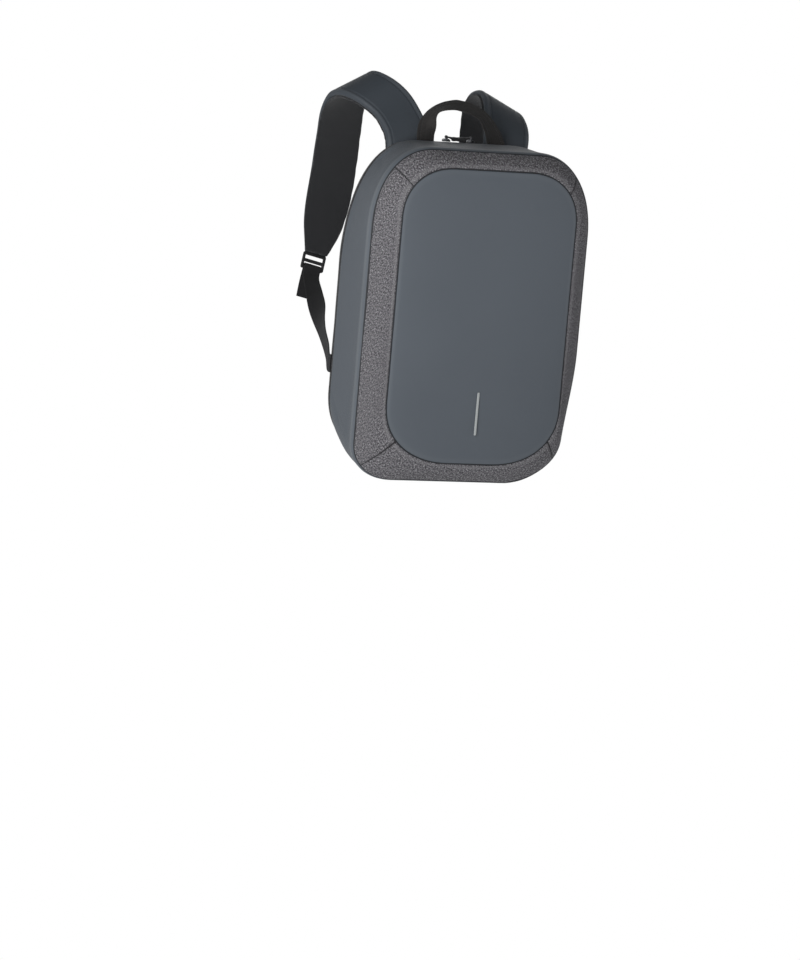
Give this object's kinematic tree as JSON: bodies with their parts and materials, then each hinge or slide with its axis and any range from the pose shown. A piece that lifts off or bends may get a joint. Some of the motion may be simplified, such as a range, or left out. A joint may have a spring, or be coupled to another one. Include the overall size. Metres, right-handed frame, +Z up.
{
  "type": "anti-theft backpack",
  "caption": "Rounded box backpack with a crowned coated panel in a heather frame, a hidden rear zip, a webbing carry handle and padded shoulder straps in their worn form",
  "frame": {"origin": "the middle of the back panel's outer face, at mid-height, where the bag lies on the wearer", "axes": "+Z up along the bag's height, +Y out of the back panel to the wearer, -Y to the front panel, +X to the right of the bag seen from its front panel"},
  "size_m": [0.3258, 0.3562, 0.5402],
  "materials": {
    "coated_fabric": "satin coated woven fabric, slate grey",
    "strap_cover": "satin coated woven fabric, dark slate",
    "heather_fabric": "mottled grey heather weave, matte",
    "piping": "dark bound piping, satin",
    "zip_tape": "black woven zip tape",
    "spacer_mesh": "black air mesh, matte",
    "webbing": "black woven webbing with a slight sheen",
    "black_plastic": "moulded black plastic, fine texture",
    "slider_metal": "dark plated zinc, polished on its edges",
    "reflective": "light grey reflective film"
  },
  "bodies": {
    "bag": {"front_panel": "coated_fabric", "panel_welt": "piping", "frame_top": "heather_fabric", "frame_left": "heather_fabric", "frame_bottom": "heather_fabric", "frame_right": "heather_fabric", "outer_piping": "piping", "side_gusset": "coated_fabric", "zip_band": "zip_tape", "back_panel": "spacer_mesh", "reflective_bar": "reflective", "shoulder_strap_left": "strap_cover", "shoulder_strap_right": "strap_cover", "strap_lining_left": "spacer_mesh", "strap_lining_right": "spacer_mesh", "strap_buckle_left": "black_plastic", "strap_buckle_right": "black_plastic", "lower_webbing_left": "webbing", "lower_webbing_right": "webbing", "top_handle": "webbing", "zip_slider_left": "slider_metal", "zip_slider_right": "slider_metal"},
    "left_pull": {"pull_tab_left": "black_plastic"},
    "right_pull": {"pull_tab_right": "black_plastic"}
  },
  "joints": [
    {"name": "left_tab_swing", "type": "hinge", "parent": "bag", "child": "left_pull", "pos_m": [-0.023, -0.0165, 0.2348], "axis": [-0.2079, -0.9781, 0], "range_deg": [0, 85]},
    {"name": "right_tab_swing", "type": "hinge", "parent": "bag", "child": "right_pull", "pos_m": [0.013, -0.0165, 0.2348], "axis": [0.2079, 0.9781, 0], "range_deg": [0, 105]}
  ]
}
